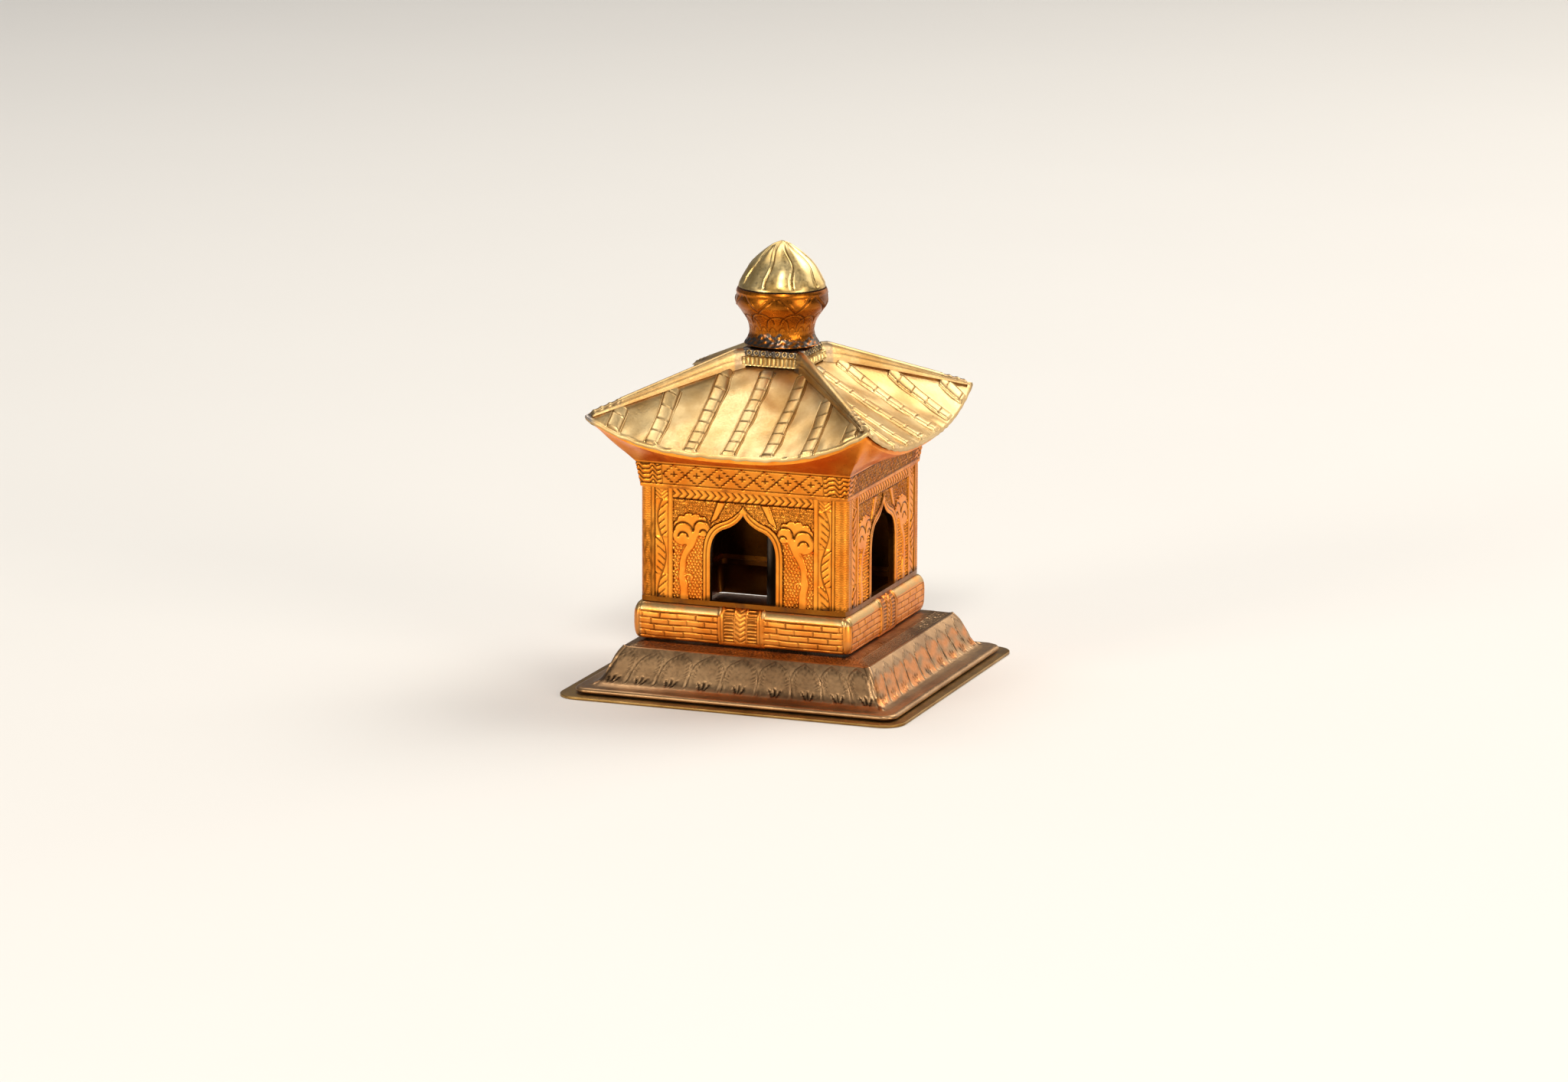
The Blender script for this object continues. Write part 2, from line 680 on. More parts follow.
def plinth_relief(side, walk, down):
    """Lotus petals engraved on the slope, a matted top with a border line, and a rib down each corner."""
    work = Chasing(walk)
    share = down / SLOPE_LONG
    corner = np.interp(share, [0, 1], [1.04, 1.9])
    whole = np.interp(share, [0, 1], [SLOPE_CREST, SLOPE_FOOT]) - corner * (1 - math.pi / 4)
    along = walk / whole
    wide = 2 * whole / PETALS_PER_SIDE / (1 - PETAL_SWELL * np.cos(math.pi * along))
    cell = along * PETALS_PER_SIDE / 2 - PETAL_SHIFT * np.sin(math.pi * along)
    across = beat(cell, 1) * wide
    on_slope = rise(share - 0.02, 0.03) * rise(0.86 - share, 0.05)
    inside = (petal_edge(share - 0.03) - np.abs(across) / wide) * wide + 0.05 * wander(walk, down, 3)
    work.lift += on_slope * (0.03 * rise(inside, 0.5) + 0.06 * ridge(inside - 0.27, 0.17))
    work.cut(ridge(inside - 0.03, 0.15) * on_slope, 0.06, 0.75)
    work.sunk += 0.25 * on_slope * rise(inside - 0.35, 0.2)
    work.cut(petal_strokes(across, share) * on_slope, 0.1, 0.95)
    hatching = ridge(beat(np.arctan2(across, 0.72 * SLOPE_LONG - down) * 2.2, 0.36), 0.14)
    hatched = rise(inside - 0.3, 0.1) * rise(0.95 - inside, 0.2) * rise(0.62 - share, 0.1) * on_slope
    work.cut(hatching * hatched, 0.04, 0.4)

    corner_way = whole - np.abs(walk)
    down_slope = rise(share + 0.02, 0.04) * rise(0.98 - share, 0.1)
    clear = 1 - rise(0.75 - corner_way, 0.3) * down_slope
    rib = np.sqrt(np.clip(1 - (corner_way / 0.45) ** 2, 0, 1)) * down_slope
    work.lift = work.lift * clear + 0.24 * rib
    work.sunk = work.sunk * clear + 0.8 * ridge(corner_way - 0.62, 0.22) * down_slope

    on_top = (down < -0.1) & (down > -4)
    work.cut(matting(walk, down, 0.5) * rise(-0.55 - down, 0.2) * on_top, 0.1, 0.8)
    work.cut(ridge(down + 0.42, 0.16) * (down < 0), 0.07, 0.8)
    rubbed = rise(share - 0.2, 0.25) * rise(0.9 - share, 0.2) * rise(inside - 0.1, 0.3)
    copper = np.where(side == 1, 0.5 + 0.2 * wander(walk, down * 2, 5), 0.1 * (side == 0))
    return work.done(rubbed * copper)


class CASKET_OT_plinth(bpy.types.Operator):
    """The tarnished silver plinth with its ring of lotus petals"""

    bl_idname = "casket.plinth"
    bl_label = "Plinth"

    def execute(self, context):
        piece = square_sheet("lotus_plinth", "plinth", columns=212, rows=plinth_rows(), relief=plinth_relief)
        finish_piece(piece, "plinth", brown_silver())
        return {"FINISHED"}


# Foot moulding

BELT_HALF = 3.85  # half the width of the belt over the middle of each side
COURSES = 4
FIRST_COURSE = 0.72  # way up the outside to the foot of the first course
OUTSIDE_ENDS = 11  # a label past the top of the outside
LEDGE = 20  # label of the ledge and the inside, where nothing is chased


def moulding_rows():
    """The half-round moulding's profile, up its outside, in over its ledge and down its inside."""
    low, high = heights("foot_moulding")
    centre, tall = (low + high) / 2, (high - low) / 2
    outside = []
    for t in np.linspace(-1, 1, 61):
        foot = 17.85 if t < 0 else 17.2
        outside.append((foot + (18.48 - foot) * math.sqrt(1 - abs(t) ** 3), centre + t * tall))
    walked = np.concatenate([[0], np.cumsum([math.dist(p, q) for p, q in zip(outside, outside[1:])])])
    spans = [(half, z, 1.2, s, 1) for (half, z), s in zip(outside, walked)]
    inside = ((16.3, high, 1), (16.3, high - 0.8, 1), (16.9, high - 0.8, 1))
    inside += ((17.4, centre + 1, 2), (17.4, centre - 1, 1), (17.1, low + 0.1, 1))
    spans += [(half, z, 1.0, LEDGE, faces) for half, z, faces in inside]
    spans.append((17.85, low, 1.2, 0, 1))
    return profile_rows(spans)


def moulding_relief(side, walk, up):
    """Four courses of small bricks under a plain round, a belt of ladders and chevrons, and corner straps."""
    work = Chasing(walk)
    tall = bpy.context.scene.casket_sizes.brick_tall / MM
    x = np.abs(walk)
    from_edge = 17.9 - x
    outside = up < OUTSIDE_ENDS
    course = np.floor((up - FIRST_COURSE) / tall)
    bricked = rise(up - FIRST_COURSE + 0.1, 0.1) * rise(FIRST_COURSE + COURSES * tall + 0.12 - up, 0.1)
    joint = ridge(beat(up - FIRST_COURSE + 0.05 * wander(walk, up * 0, 7), tall), 0.17)
    brick = 3.2 + 0.5 * (scatter(course + side * 7) - 0.5)
    upright = ridge(beat(walk + (course % 2) * brick / 2 + 0.4 * side, brick), 0.14)
    beside_belt = rise(x - BELT_HALF, 0.12) * rise(from_edge - 0.75, 0.12)
    work.cut(np.maximum(joint, upright) * bricked * beside_belt, 0.12, 0.8)

    belt = rise(BELT_HALF - x, 0.15) * outside
    work.lift += 0.14 * belt
    chased = rise(up - 0.8, 0.2) * rise(7.2 - up, 0.3) * belt
    work.lift += 0.09 * (ridge(x - 3.6, 0.2) + ridge(x - 3.05, 0.2) + ridge(x - 0.98, 0.14)) * chased
    work.sunk += 0.7 * (ridge(x - 3.32, 0.14) + ridge(x - 2.8, 0.14)) * chased
    ladder = rise(x - 1.15, 0.1) * rise(2.7 - x, 0.1) * chased
    rung = ridge(beat(up, 0.55), 0.16)
    work.lift += (0.1 * rung - 0.06) * ladder
    work.sunk += 0.75 * (1 - rung) * ladder
    chevron = ridge(beat(up - 0.75 * x, 0.8), 0.17)
    work.cut(chevron * rise(0.9 - x, 0.1) * chased, 0.12, 0.85)
    work.cut(ridge(from_edge - 0.62, 0.16) * outside, 0.12, 0.8)

    top = rise(up - 4.95, 0.4) * outside * rise(x - 3.4, 0.6)
    solder = top * (0.62 + 0.2 * wander(walk, up, 5)) + 0.3 * rise(1.1 - from_edge, 0.5) * outside
    work.sunk += np.where(outside, 0.35 * rise(up - 6.9 + 0.6 * wander(walk, up, 4), 1.2), 0.9)
    return work.done(solder)


class CASKET_OT_foot_moulding(bpy.types.Operator):
    """The half-round moulding of bricks under the walls"""

    bl_idname = "casket.foot_moulding"
    bl_label = "Foot moulding"

    def execute(self, context):
        rows = moulding_rows()
        piece = square_sheet("brick_moulding", "foot_moulding", columns=220, rows=rows, relief=moulding_relief)
        finish_piece(piece, "foot_moulding", moulding_gold())
        return {"FINISHED"}


# Walls

WALL_CORNER = 1.3
WALL_THICK = 1.2
DOOR_HALF = 5.6
DOOR_SILL = 15.3
DOOR_SPRING = 22.4
DOOR_APEX = 29.6
FRAME_WIDE = 1.15
FRAME_TIP = 1.5
PANEL_EDGE = 11.9  # from the middle of the wall to the outer edge of the sunk panel
STRIP_EDGE = 12.7  # and to the inner edge of the strip beside it
STRIP_MIDDLE = 13.8
PILASTER_INNER = 15.04
MATTED_FROM = 26.4  # height at which the panel's ground turns from pearled to matted
VEES_FROM = 31.3
BAND_BOTTOM = 31.5
BAND_MIDDLE = 32.35
BAND_TOP = 32.9

# The raised ornament beside each doorway, on a half wall, as (distance from the middle, height). The lobes and
# arcs have a radius as well, and the arcs the height below which they are left out.
CLOUD_LOBES = (
    (7.0, 28.05, 0.74), (8.1, 28.45, 0.76), (9.3, 28.45, 0.78), (10.45, 28.0, 0.78), (11.1, 27.2, 0.7),
    (6.85, 26.75, 1.2), (10.35, 25.6, 1.6),
)
CLOUD_BODY = (
    (11.6, 24.6), (11.6, 27.2), (10.4, 28.2), (8.7, 28.6), (7.0, 28.2), (6.2, 27.0), (6.4, 26.2), (7.6, 25.6),
    (8.1, 24.6), (9.2, 24.0),
)
CLOUD_ARCS = (
    (7.0, 26.75, 1.4, 26.5), (10.15, 26.1, 1.6, 26.3), (6.75, 26.1, 0.6, 26.2), (10.2, 25.2, 0.9, 25.35),
)
STEM = (
    (8.3, 26.0), (8.6, 24.9), (9.0, 23.9), (9.7, 22.9), (10.1, 21.8), (10.3, 20.4), (10.35, 19.0),
    (10.1, 17.4), (10.0, 15.3),
)
CURL = ((10.3, 18.0), (9.9, 18.9), (9.3, 19.3), (8.8, 18.9), (8.8, 18.4))
STRAP = ((5.6, 27.9), (4.3, 31.4), (3.0, 31.4), (4.5, 28.6))


def ogee_point(start, one, two, end, t):
    """A point of a curve from start to end that is drawn towards two others."""
    return tuple(
        a * (1 - t) ** 3 + 3 * b * t * (1 - t) ** 2 + 3 * c * t * t * (1 - t) + d * t**3
        for a, b, c, d in zip(start, one, two, end)
    )


def ogee(half, spring, apex):
    """Half an ogee arch from its spring to its apex."""
    def level(share):
        return spring + (apex - spring) * share

    low = ((half, spring), (half, level(0.45)), (half * 0.8, level(0.6)), (half * 0.52, level(0.67)))
    high = (low[3], (half * 0.28, level(0.74)), (half * 0.1, level(0.86)), (0, apex))
    return [ogee_point(*low, k / 24) for k in range(24)] + [ogee_point(*high, k / 24) for k in range(25)]


DOOR_EDGE = [(DOOR_HALF, DOOR_SILL)] + ogee(DOOR_HALF, DOOR_SPRING, DOOR_APEX)
FRAME_EDGE = [(DOOR_HALF + FRAME_WIDE, DOOR_SILL - 1)] + ogee(
    DOOR_HALF + FRAME_WIDE, DOOR_SPRING, DOOR_APEX + FRAME_TIP
)


def door_half_width(height):
    """Half the width of the doorway at a height, 0 above its apex."""
    levels = [z for _, z in DOOR_EDGE]
    widths = [x for x, _ in DOOR_EDGE]
    return np.where(height > DOOR_APEX, 0, np.interp(height, levels, widths))


def carve_panel(work, walk, z, panel):
    """Clouds over a stem beside the doorway, on a ground that is matted above and pearled below."""
    sizes = bpy.context.scene.casket_sizes
    x = np.abs(walk)
    hand = 0.06 * wander(walk, z, 3.1)
    cloud = within(CLOUD_BODY, x + hand, z)
    for lobe_x, lobe_z, radius in CLOUD_LOBES:
        cloud = np.maximum(cloud, radius - np.hypot(x + hand - lobe_x, z - lobe_z))
    stem = 0.62 - 0.12 * rise(z - 18, 3) * rise(24 - z, 3) - away(flowing(STEM), x + hand, z)
    curl = 0.17 - away(flowing(CURL), x, z)
    plain = np.maximum(np.maximum(cloud, stem), np.maximum(curl, within(STRAP, x, z)))
    work.lift += 0.2 * rise(plain, 0.16) * panel
    work.cut(ridge(plain + 0.07, 0.17) * panel * (0.3 + 0.7 * rise(z - MATTED_FROM, 1.2)), 0.06, 0.8)
    in_cloud = rise(cloud - 0.05, 0.1) * panel
    for arc_x, arc_z, radius, lowest in CLOUD_ARCS:
        arc = ridge(np.hypot(x + hand - arc_x, z - arc_z) - radius, 0.24)
        work.cut(arc * in_cloud * rise(z - lowest, 0.3), 0.17, 1)

    ground = panel * (1 - rise(plain + 0.15, 0.15))
    matted = rise(z - MATTED_FROM, 0.4) * ground
    pearled = ground - matted
    work.lift += 0.1 * matted
    work.cut(matting(walk + hand, z + hand, sizes.ring_pitch / MM) * matted, 0.12, 0.75)
    pearl = pearls(walk + hand, z, sizes.pearl_pitch / MM)
    work.lift += (0.04 + 0.25 * pearl) * pearled
    work.sunk += 0.34 * (1 - rise(pearl - 0.25, 0.4)) * pearled


def carve_strip(work, x, z, strip):
    """A waving stalk up the strip beside the panel, with leaves on alternate sides, and vees over it."""
    wave = (31.2 - z) / 6.1
    turn = np.where(np.floor(wave) % 2 == 0, 1.0, -1.0)
    stalk_x = 13.82 + 0.72 * turn * np.sin(math.pi * (wave - np.floor(wave))) * (wave > 0)
    beside = (stalk_x - x) * turn
    waving = strip * (z < VEES_FROM)
    leaf = rise(beside - 0.12, 0.1) * waving
    work.lift += 0.08 * leaf
    off = x - STRIP_MIDDLE
    slant = z + np.where(turn > 0, 0.85, -0.8) * off
    work.cut(ridge(beat(slant, 1.15), 0.2) * leaf * rise(1.25 - beside, 0.4), 0.13, 0.85)
    work.cut(ridge(x - stalk_x, 0.19) * waving, 0.1, 0.6)
    work.cut(ridge(beat(z - 0.9 * np.abs(off), 0.62), 0.13) * (strip - waving), 0.1, 0.75)


def wall_tarnish(side, walk, z):
    """Soot up the left pilaster, darkest on the front, and a dark seam at the foot of both pilasters."""
    x = np.abs(walk)
    sooty = rise(x - 15.0, 0.3) * rise(27.6 + 0.6 * wander(walk, z, 2) - z, 1.2)
    sooty *= (0.55 + 0.25 * wander(walk * 3, z, 2.5)) * (1.0 if side == 0 else 0.4) * (walk < 0)
    seam = 0.8 * rise(x - 12.9, 0.4) * rise(15.9 + 0.3 * wander(walk * 2, z, 2) - z, 0.5)
    return np.maximum(sooty, seam)


def wall_relief(side, walk, z):
    """The chased front of a wall, the same on both sides of its doorway: its rise, sunk and solder marks."""
    work = Chasing(walk)
    x = np.abs(walk)
    frame_outline = [*FRAME_EDGE, (-1, DOOR_APEX + FRAME_TIP), (-1, DOOR_SILL - 1)]
    to_frame = -within(frame_outline, x, z)
    from_door = away(DOOR_EDGE, x, z)
    panel = rise(PANEL_EDGE - x, 0.12) * rise(BAND_BOTTOM - z, 0.12) * rise(to_frame, 0.12)
    strip = rise(x - STRIP_EDGE, 0.12) * rise(PILASTER_INNER - 0.15 - x, 0.12) * rise(BAND_TOP - z, 0.2)
    work.lift -= bpy.context.scene.casket_sizes.chasing / MM * panel + 0.16 * strip
    carve_panel(work, walk, z, panel)
    carve_strip(work, x, z, strip)
    for line_x, strength in ((PANEL_EDGE, 0.6), (STRIP_EDGE, 0.6), (PILASTER_INNER - 0.1, 1.0), (15.5, 0.7)):
        work.cut(strength * ridge(x - line_x, 0.19) * rise(z - DOOR_SILL, 0.2), 0.08, 0.8)

    band = rise(z - BAND_BOTTOM - 0.1, 0.1) * rise(PANEL_EDGE - 0.05 - x, 0.1)
    work.cut(ridge(beat(walk + np.abs(z - BAND_MIDDLE), 1.15), 0.27) * band, 0.14, 0.85)
    work.cut(ridge(z - BAND_BOTTOM - 0.02, 0.2) * rise(PANEL_EDGE - x, 0.1), 0.12, 1)
    hatch = rise(x - 15.6, 0.1) * rise(BAND_TOP - z, 0.3)
    work.cut(ridge(beat(z + 0.1 * wander(walk * 3, z, 2), 0.36), 0.12) * hatch, 0.035, 0.3)

    frame_part = (1 - rise(to_frame, 0.12)) * rise(BAND_BOTTOM + 1.6 - z, 0.1)
    work.cut(ridge(from_door - 0.62, 0.16) * frame_part * (z < DOOR_APEX + 0.3), 0.08, 0.7)
    work.sunk += 0.9 * ridge(to_frame - 0.04, 0.2) * (z < BAND_BOTTOM)
    work.lift -= 0.1 * rise(0.16 - from_door, 0.16) * (z < DOOR_APEX + 0.2)

    work.sunk += 0.16 * rise(x - 15.4, 0.3) * (0.5 + 0.5 * wander(walk * 2.3, z, 2.2))
    foot = rise(15.75 + 0.3 * wander(walk, z * 0, 3) - z, 0.8)
    work.sunk += foot * (0.35 + 0.4 * ridge(x - 13.6, 2.2) + 0.3 * ridge(x - 6, 1.5))
    sunk = np.maximum(1.35 * work.sunk, wall_tarnish(side, walk, z))
    return work.lift, sunk, 0.5 * foot * ridge(x - 13.6, 2.2)


def wall_columns():
    """Columns round half a wall, as (share, depth): outside to the corner, inside back, and the jamb."""
    outer = [(s, 0.0) for s in np.linspace(0, 1, 141)]
    inner = [(s, 1.0) for s in np.linspace(1, 0, 13)]
    return np.array([*outer, *inner, (0.0, 0.66), (0.0, 0.33), (0.0, 0.0)])


def half_wall(side, hand):
    """Half of one wall, from the middle of its doorway to its corner, as a closed shell."""
    half = reach("walls")
    top = heights("walls")[1]
    columns = wall_columns()
    piece, a, b = flat_grid("half", across=len(columns) - 1, along=146)
    share, depth = columns[np.rint((a + 1) / 2 * (len(columns) - 1)).astype(int)].T
    z = DOOR_SILL + (top - DOOR_SILL) * (b + 1) / 2
    door = door_half_width(z)
    corner = WALL_CORNER + (0.4 - WALL_CORNER) * depth
    straight = half - WALL_THICK * depth - corner
    whole = straight + corner * math.pi / 4
    walk = door + (whole - door) * share
    bend = np.clip((walk - straight) / corner, 0, math.pi / 4)
    across = np.where(walk < straight, walk, straight + corner * np.sin(bend))
    out = straight + corner * np.cos(bend)
    lift, sunk, solder = wall_relief(side, hand * walk, z)
    front = depth == 0
    lift = np.where(front, lift, 0)
    across += lift * np.sin(bend)
    out += lift * np.cos(bend)
    put_on_side(piece, "walls", side, hand * across, out, z)
    put_marks(piece, {"sunk": np.where(front, sunk, 1), "solder": np.where(front, solder, 0)})
    remove_faces_between(piece, walk < 1e-6)
    return piece


def remove_faces_between(piece, on_seam):
    """Removes the faces whose corners all lie on the seam over the doorway."""
    loops = np.empty(len(piece.data.polygons) * 4, int)
    piece.data.polygons.foreach_get("vertices", loops)
    gone = on_seam[loops.reshape(-1, 4)].all(axis=1)
    bpy.ops.object.mode_set(mode="EDIT")
    bpy.ops.mesh.select_mode(type="FACE")
    bpy.ops.mesh.select_all(action="DESELECT")
    bpy.ops.object.mode_set(mode="OBJECT")
    piece.data.polygons.foreach_set("select", gone)
    bpy.ops.object.mode_set(mode="EDIT")
    bpy.ops.mesh.delete(type="FACE")
    bpy.ops.object.mode_set(mode="OBJECT")


def join_pieces(pieces, name):
    """Joins pieces into the first of them, under a new name."""
    deselect()
    for piece in pieces:
        piece.select_set(True)
    bpy.context.view_layer.objects.active = pieces[0]
    bpy.ops.object.join()
    pieces[0].name = name
    return pieces[0]


def sill_rows():
    """The section of the plain sill, from the moulding up to the foot of the walls."""
    low = heights("foot_moulding")[1] + 0.02
    half = reach("walls")
    section = ((half - 1.1, low), (half, low), (half, DOOR_SILL), (half - 1.1, DOOR_SILL), (half - 1.1, low))
    return profile_rows([(x, z, 1.0, 0, 2) for x, z in section])


def plain_relief(side, walk, label):
    """No chasing: a dark strip with a little solder along it."""
    solder = 0.2 + 0.25 * wander(walk, label, 6)
    return np.zeros_like(walk), {"sunk": np.full_like(walk, 0.8), "solder": solder}


class CASKET_OT_walls(bpy.types.Operator):
    """The four chased walls with their ogee doorways, and the sill under them"""

    bl_idname = "casket.walls"
    bl_label = "Walls"

    def execute(self, context):
        gold = red_gold()
        for side, name in enumerate(("front", "right", "back", "left")):
            wall = join_pieces([half_wall(side, hand) for hand in (-1, 1)], f"{name}_wall")
            close_up(wall)
            finish_piece(wall, "walls", gold)
        sill = square_sheet("wall_sill", "walls", columns=24, rows=sill_rows(), relief=plain_relief)
        finish_piece(sill, "walls", gold)
        return {"FINISHED"}


# Cornice

FRIEZE_HALF = (17.51, 18.21)  # at its foot and at its top
FRIEZE_TOP = 37.4
LOZENGES = 7


def frieze_relief(side, walk, height):
    """Lozenges of square punch marks between panels of cloud lines, or rings all over on the right side."""
    work = Chasing(walk)
    pitch = bpy.context.scene.casket_sizes.lozenge_pitch / MM
    low = heights("cornice")[0]
    half_run = pitch * LOZENGES / 2
    x, z = np.abs(walk), height - (low + FRIEZE_TOP) / 2
    frieze = rise(height - low - 0.3, 0.1) * rise(FRIEZE_TOP - 0.35 - height, 0.1)
    dx = beat(walk, pitch)
    diamond = 1.25 * (np.abs(dx) / (pitch / 2) + np.abs(z) / 1.6 - 1)
    stitch = 0.5 + 0.5 * np.cos(2 * math.pi * (np.abs(z) - 0.05) / 0.4)
    dotted = ridge(diamond, 0.29) * rise(stitch - 0.38, 0.3)
    cross = np.clip(ridge(dx, 0.19) * (np.abs(z) < 0.5) + ridge(z, 0.19) * (np.abs(dx) < 0.6), 0, 1)
    lozenges = rise(half_run - x, 0.15) * frieze
    work.lift -= 0.15 * np.maximum(dotted, cross) * lozenges
    dark = np.maximum(0.95 * np.maximum(dotted, 0.8 * cross), 0.2 * ridge(diamond, 0.3))
    work.sunk += dark * lozenges

    clouds = rise(x - half_run - 0.25, 0.15) * frieze
    bent = z + 0.3 * np.sin(2 * math.pi * (x - half_run) / 2.3) + 0.12 * np.sin(5.1 * walk)
    work.cut(ridge(beat(bent, 0.78), 0.24) * clouds, 0.15, 0.9)
    work.cut(ridge(x - half_run - 0.12, 0.13) * frieze, 0.08, 0.6)
    rings = matting(walk, height, 0.62)
    ringed = (side == 1) * frieze * rise(half_run + 1 - x, 0.2) > 0.5
    work.lift = np.where(ringed, 0.35 * work.lift - 0.11 * rings, work.lift)
    work.sunk = np.where(ringed, 0.35 * work.sunk + 0.85 * rings, work.sunk)
    for level in (low + 0.32, FRIEZE_TOP - 0.35):
        work.cut(ridge(height - level, 0.19), 0.08, 0.7)
    work.sunk = 1.3 * work.sunk + 0.08
    return work.done(0.3 * rise(low + 0.25 - height, 0.3))


EAVE_HALF = 24.4  # from the middle of the roof to the middle of an eave
EAVE_MIDDLE = 40.5  # height of the middle of an eave
EAVE_CORNER = 45.3  # height of its corners
EAVE_REACH = 24.2  # how far a corner reaches both ways
EAVE_POWER = 2.8  # how late the eave turns up towards its corners
BENT_REACH = 22.9
BENT_LIFT = 0.5
ROOF_HALF = 5.2
ROOF_TOP = 51.2
SHEET = 0.8
SEAM = 0.3  # room between the roof and the soffit
SOFFIT_REACH = 0.955  # share of the way down the slopes at which the soffit ends
SOFFIT_SHEET = 0.64
RIBS_PER_SIDE = 7
RIB_PITCH = 6.5
HIP_INNER = (5.7, 54.1)  # half width and height at which the hip ridges start to fall
HIP_OUTER = (23.5, 45.95)
HIP_RUN_IN = 0.9  # how much further they run, level, under the collar


def eave_corner(side, along):
    """How far a corner of the eave reaches and how high it lies. The front right one is bent in and up."""
    bent = ((side == 0) & (along > 0)) | ((side == 1) & (along < 0))
    return np.where(bent, BENT_REACH, EAVE_REACH), EAVE_CORNER + np.where(bent, BENT_LIFT, 0)


def slope_point(side, along, down):
    """A place on a slope: `along` from corner to corner, `down` from the top (0) to the eave (1)."""
    reach_to, corner_height = eave_corner(side, along)
    late = np.abs(along) ** EAVE_POWER
    out = ROOF_HALF + (EAVE_HALF + (reach_to - EAVE_HALF) * late - ROOF_HALF) * down
    across = along * (ROOF_HALF + (reach_to - ROOF_HALF) * down)
    centre = ROOF_TOP + (EAVE_MIDDLE - ROOF_TOP) * down - 1.6 * down * (1 - down)
    top = ROOF_TOP + 0.9 * np.minimum(1, 8 * down)
    hip = top + (corner_height - top) * down + 0.4 * down * (1 - down)
    return across, out, centre + (hip - centre) * late


def soffit_point(side, along, share, drop):
    """A place under the eave, from the top of the frieze (0) to just inside the eave (1)."""
    across, out, height = slope_point(side, along, SOFFIT_REACH)
    shrink = FRIEZE_HALF[1] / np.maximum(np.abs(across), out)
    scale = shrink + (1 - shrink) * share
    outer = height - SHEET - SEAM - SOFFIT_SHEET
    return across * scale, out * scale, FRIEZE_TOP + (outer - FRIEZE_TOP) * share + drop


def soffit_sheet():
    """The plain underside of the eaves, hammered a little uneven."""
    columns, rows = 64, 40
    piece, a, b = flat_grid("soffit", 4 * columns, rows)
    side, along = round_sides(a)
    way = (b + 1) / 2 * rows
    turns = [0, 19, 20, 39, 40]
    share = np.interp(way, turns, [0, 1, 1, 0, 0])
    drop = np.interp(way, turns, [0, 0, SOFFIT_SHEET, 0.7, 0])
    across, out, z = soffit_point(side, along, share, drop)
    below = way < 20
    hammered = 0.12 * wander(across, out * 1.3, 5) * share * (1 - share) * 4 * below
    put_on_side(piece, "cornice", side, across, out, z + hammered)
    put_marks(piece, {"sunk": 0.25 * below * (1 - share), "solder": 0.25 * (1 - share)})
    close_up(piece)
    return piece


class CASKET_OT_cornice(bpy.types.Operator):
    """The frieze and the flaring sheet under the eaves"""

    bl_idname = "casket.cornice"
    bl_label = "Cornice"

    def execute(self, context):
        gold = red_gold()
        low = heights("walls")[1] + 0.02
        half_low, half_high = FRIEZE_HALF
        inner_foot = (half_low - SHEET, low, 0.3, low - 3, 1)
        spans = [inner_foot, (half_low, low, 0.35, low, 34), (half_high, FRIEZE_TOP, 0.35, FRIEZE_TOP, 1)]
        spans += [(half_high - SHEET, FRIEZE_TOP + 0.1, 0.3, 0, 1), inner_foot]
        rows = profile_rows(spans)
        frieze = square_sheet("frieze", "cornice", columns=268, rows=rows, relief=frieze_relief)
        finish_piece(frieze, "cornice", gold)
        finish_piece(soffit_sheet(), "cornice", gold)
        return {"FINISHED"}


# Roof

# Across a tile rib and across a hip ridge, as (place, rise), from one flank to the crest
TILE_SECTION = (
    (-1.4, -0.35), (-1.34, 0.02), (-1.25, 0.17), (-1.14, 0.14), (-1.05, 0.02), (-0.98, 0.24), (-0.82, 0.38),
    (-0.5, 0.46), (0, 0.49),
)
HIP_SECTION = (
    (-1.05, -0.1), (-1.04, 0.2), (-0.99, 0.36), (-0.9, 0.44), (-0.82, 0.42), (-0.77, 0.54), (-0.68, 0.72),
    (-0.52, 0.87), (-0.3, 0.96), (0, 1.0),
)


def both_flanks(section):
    """A section from one flank over its crest to the other."""
    return np.array([*section, *[(-place, rising) for place, rising in section[-2::-1]]])


def slope_height(side, across, out):
    """The height of a slope over a place in plan, found by halving."""
    low, high = np.zeros_like(out), np.ones_like(out)
    reach_to, _ = eave_corner(side, across)
    for _ in range(22):
        down = (low + high) / 2
        along = np.clip(across / (ROOF_HALF + (reach_to - ROOF_HALF) * down), -1, 1)
        nearer = slope_point(side, along, down)[1] < out
        low, high = np.where(nearer, down, low), np.where(nearer, high, down)
    along = np.clip(across / (ROOF_HALF + (reach_to - ROOF_HALF) * low), -1, 1)
    return slope_point(side, along, low)[2]


